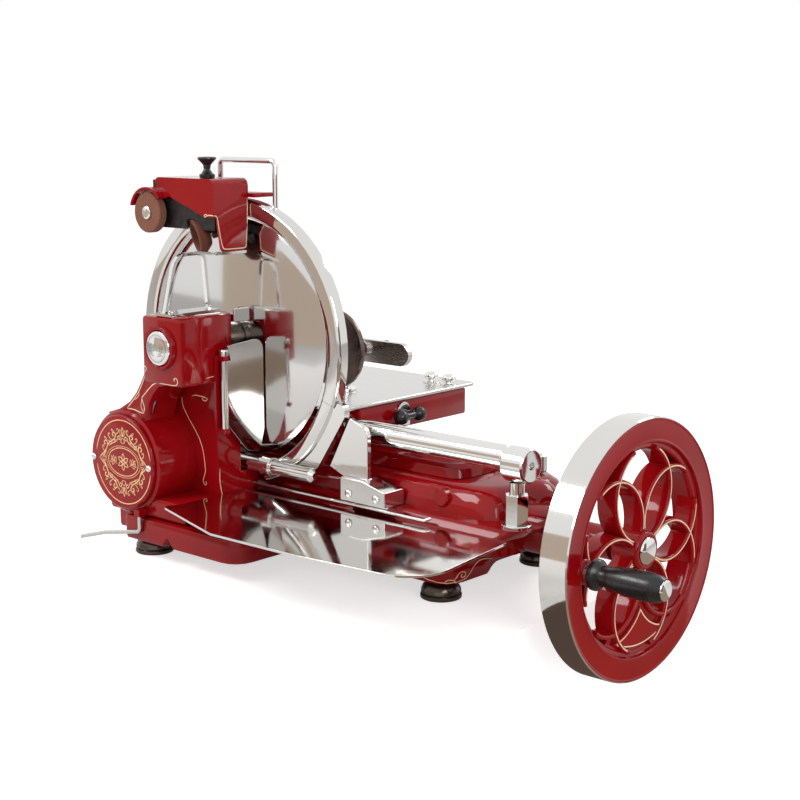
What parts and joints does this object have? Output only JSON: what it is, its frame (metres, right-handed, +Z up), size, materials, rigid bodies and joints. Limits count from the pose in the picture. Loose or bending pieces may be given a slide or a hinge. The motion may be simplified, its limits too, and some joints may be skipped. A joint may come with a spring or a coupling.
{
  "type": "hand crank meat slicer",
  "caption": "Red enamelled slicer with a spoked crank flywheel, an upright round blade with ring guard, sharpener, sliding meat table and slice tray.",
  "frame": {"origin": "on the plane under the feet, straight below the blade's middle", "axes": "+X along the flywheel's shaft towards the flywheel, +Y away from the operator through the blade, +Z up"},
  "size_m": [0.731, 0.413, 0.5013],
  "materials": {
    "black_resin": "black resin, semi-gloss",
    "blackened_steel": "blackened steel",
    "brown_stone": "brown bonded abrasive",
    "brushed_steel": "satin steel",
    "chrome": "chrome plate",
    "dark_bronze": "dark bronze finish",
    "dark_stone": "dark red-brown bonded abrasive",
    "gear_steel": "machined steel",
    "polished_steel": "mirror-polished steel",
    "red_enamel": "deep red enamel, gloss"
  },
  "bodies": {
    "machine": {"base_casting": "red_enamel", "gear_case_lid": "red_enamel", "foot_front_left": "dark_bronze", "foot_front_right": "dark_bronze", "foot_back_left": "dark_bronze", "foot_back_right": "dark_bronze", "column_casting": "red_enamel", "axle_cap_ring": "red_enamel", "axle_cap": "chrome", "drive_cover": "red_enamel", "cover_screw_left": "chrome", "cover_screw_right": "chrome", "axle_housing": "red_enamel", "ring_guard_upper": "polished_steel", "ring_guard_lower": "polished_steel", "guard_bar": "polished_steel", "guard_bar_clamp": "chrome", "foot_plate": "polished_steel", "foot_plate_screw_left": "chrome", "foot_plate_screw_right": "chrome", "guide_tube": "chrome", "guide_end_block": "chrome", "guide_pillar": "chrome", "rear_rail": "brushed_steel", "deflector_bracket": "chrome", "deflector_pin": "chrome", "hub_bracket": "chrome", "tray_runner": "blackened_steel", "tray_strip": "polished_steel", "arch_bracket": "chrome", "arch_screw": "chrome"},
    "flywheel_set": {"flywheel": "red_enamel", "flywheel_hub_cap": "chrome", "flywheel_shaft": "gear_steel", "crank_pin": "chrome"},
    "crank_handle": {"crank_grip": "black_resin"},
    "cross_gear": {"cross_shaft": "gear_steel"},
    "inclined_shaft": {"drive_rod": "gear_steel"},
    "blade_set": {"blade": "polished_steel", "blade_shaft": "dark_bronze"},
    "carriage_set": {"carriage": "red_enamel", "feed_plate": "chrome"},
    "feed_arm": {"feed_lever": "black_resin"},
    "table_set": {"meat_table": "brushed_steel", "table_knob_left": "black_resin", "table_knob_right": "black_resin", "press_post": "chrome"},
    "press_bracket": {"press_arm": "polished_steel"},
    "press_plate": {"press_disc": "blackened_steel"},
    "deflector_plate": {"deflector": "polished_steel"},
    "tray_plate": {"slice_tray": "polished_steel"},
    "side_lever": {"lift_lever": "brushed_steel"},
    "sharpener": {"sharpener_hood": "red_enamel", "sharpener_carrier": "blackened_steel", "sharpener_guide_rod": "chrome"},
    "sharpener_knob": {"push_knob": "black_resin"},
    "left_stone": {"stone_one": "brown_stone", "stone_one_spindle": "chrome"},
    "right_stone": {"stone_two": "dark_stone", "stone_two_spindle": "chrome"}
  },
  "joints": [
    {"name": "flywheel_turn", "type": "hinge", "parent": "machine", "child": "flywheel_set", "pos_m": [0.49, 0.075, 0.0695], "axis": [1, 0, 0], "continuous": true},
    {"name": "crank_grip_turn", "type": "hinge", "parent": "flywheel_set", "child": "crank_handle", "pos_m": [0.49, -0.023, 0.0695], "axis": [1, 0, 0], "continuous": true},
    {"name": "cross_shaft_turn", "type": "hinge", "parent": "machine", "child": "cross_gear", "pos_m": [-0.064, 0, 0.107], "axis": [0, 1, 0], "continuous": true},
    {"name": "drive_rod_turn", "type": "hinge", "parent": "machine", "child": "inclined_shaft", "pos_m": [0, -0.101, 0.24], "axis": [-0.4336, 0, -0.9011], "continuous": true},
    {"name": "blade_turn", "type": "hinge", "parent": "machine", "child": "blade_set", "pos_m": [0, 0, 0.24], "axis": [0, 1, 0], "continuous": true},
    {"name": "carriage_slide", "type": "slide", "parent": "machine", "child": "carriage_set", "axis": [1, 0, 0], "range_m": [-0.02, 0.19]},
    {"name": "feed_lever_turn", "type": "hinge", "parent": "carriage_set", "child": "feed_arm", "pos_m": [0.1492, 0.109, 0.1545], "axis": [1, 0, 0], "range_deg": [-25, 25]},
    {"name": "table_slide", "type": "slide", "parent": "carriage_set", "child": "table_set", "axis": [0, 1, 0], "range_m": [0, 0.1]},
    {"name": "press_arm_slide", "type": "slide", "parent": "table_set", "child": "press_bracket", "axis": [0, 0, 1], "range_m": [0, 0.03]},
    {"name": "press_disc_slide", "type": "slide", "parent": "press_bracket", "child": "press_plate", "axis": [0, 1, 0], "range_m": [0, 0.035]},
    {"name": "deflector_swing", "type": "hinge", "parent": "machine", "child": "deflector_plate", "pos_m": [0.0415, -0.062, 0.15], "axis": [0, 0, 1], "range_deg": [-75, 0]},
    {"name": "tray_slide", "type": "slide", "parent": "machine", "child": "tray_plate", "axis": [0, -1, 0], "range_m": [0, 0.12]},
    {"name": "side_lever_turn", "type": "hinge", "parent": "machine", "child": "side_lever", "pos_m": [-0.036, -0.121, 0.033], "axis": [0, 0, 1], "range_deg": [0, 80]},
    {"name": "sharpener_lift", "type": "slide", "parent": "machine", "child": "sharpener", "axis": [0, 0, 1], "range_m": [0, 0.03]},
    {"name": "sharpener_knob_turn", "type": "hinge", "parent": "sharpener", "child": "sharpener_knob", "pos_m": [0.002, -0.045, 0.417], "axis": [0, 0, 1], "continuous": true},
    {"name": "left_stone_turn", "type": "hinge", "parent": "sharpener", "child": "left_stone", "pos_m": [-0.072, -0.0685, 0.378], "axis": [0, 1, 0], "continuous": true},
    {"name": "right_stone_turn", "type": "hinge", "parent": "sharpener", "child": "right_stone", "pos_m": [-0.014, -0.05, 0.353], "axis": [-0.4528, -0.8554, -0.2516], "continuous": true}
  ],
  "couplings": [
    {"joint": "cross_shaft_turn", "follows": "flywheel_turn", "ratio": 1.8},
    {"joint": "drive_rod_turn", "follows": "flywheel_turn", "ratio": 1.8},
    {"joint": "blade_turn", "follows": "flywheel_turn", "ratio": -1.8}
  ]
}
